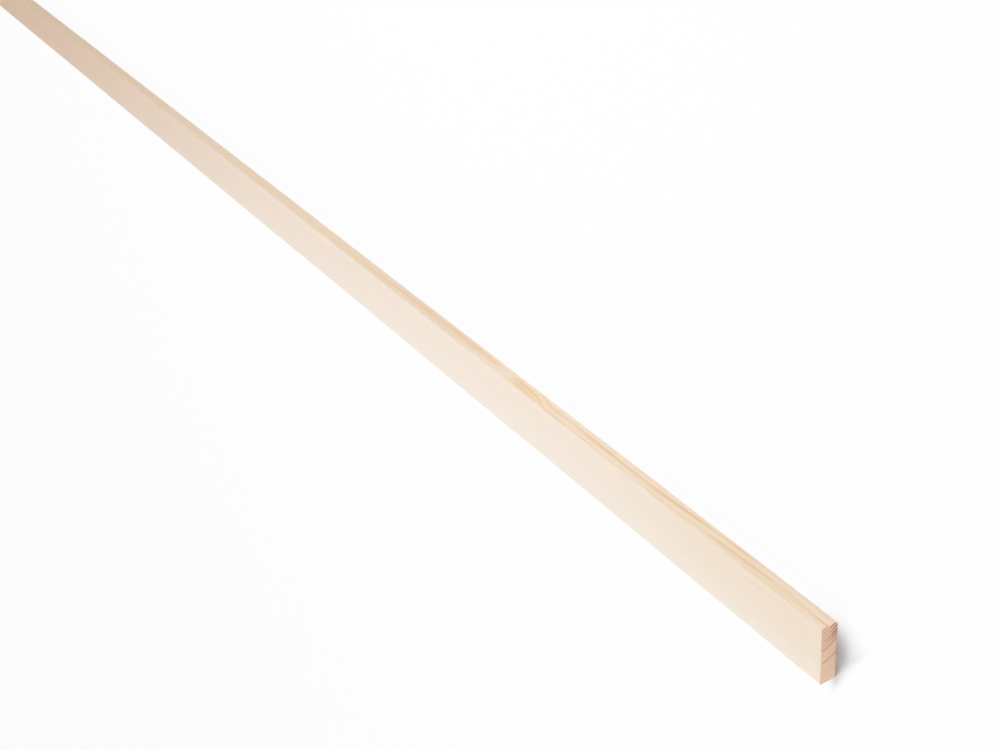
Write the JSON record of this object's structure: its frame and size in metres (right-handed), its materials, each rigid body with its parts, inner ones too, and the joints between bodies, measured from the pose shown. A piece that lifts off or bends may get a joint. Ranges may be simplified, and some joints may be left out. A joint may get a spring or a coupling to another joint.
{
  "type": "pine trim strip",
  "caption": "Straight planed pine lath of plain rectangular section with eased long edges and square saw-cut ends, nailed or glued on as trim, edging or a batten.",
  "frame": {"origin": "middle of the back broad face, on which the strip lies", "axes": "+X along the strip, +Y across its width towards one narrow edge, +Z out of the front broad face"},
  "size_m": [2.4, 0.043, 0.012],
  "materials": {
    "planed_pine": "matte"
  },
  "bodies": {
    "root": {"trim_strip": "planed_pine"}
  },
  "joints": []
}
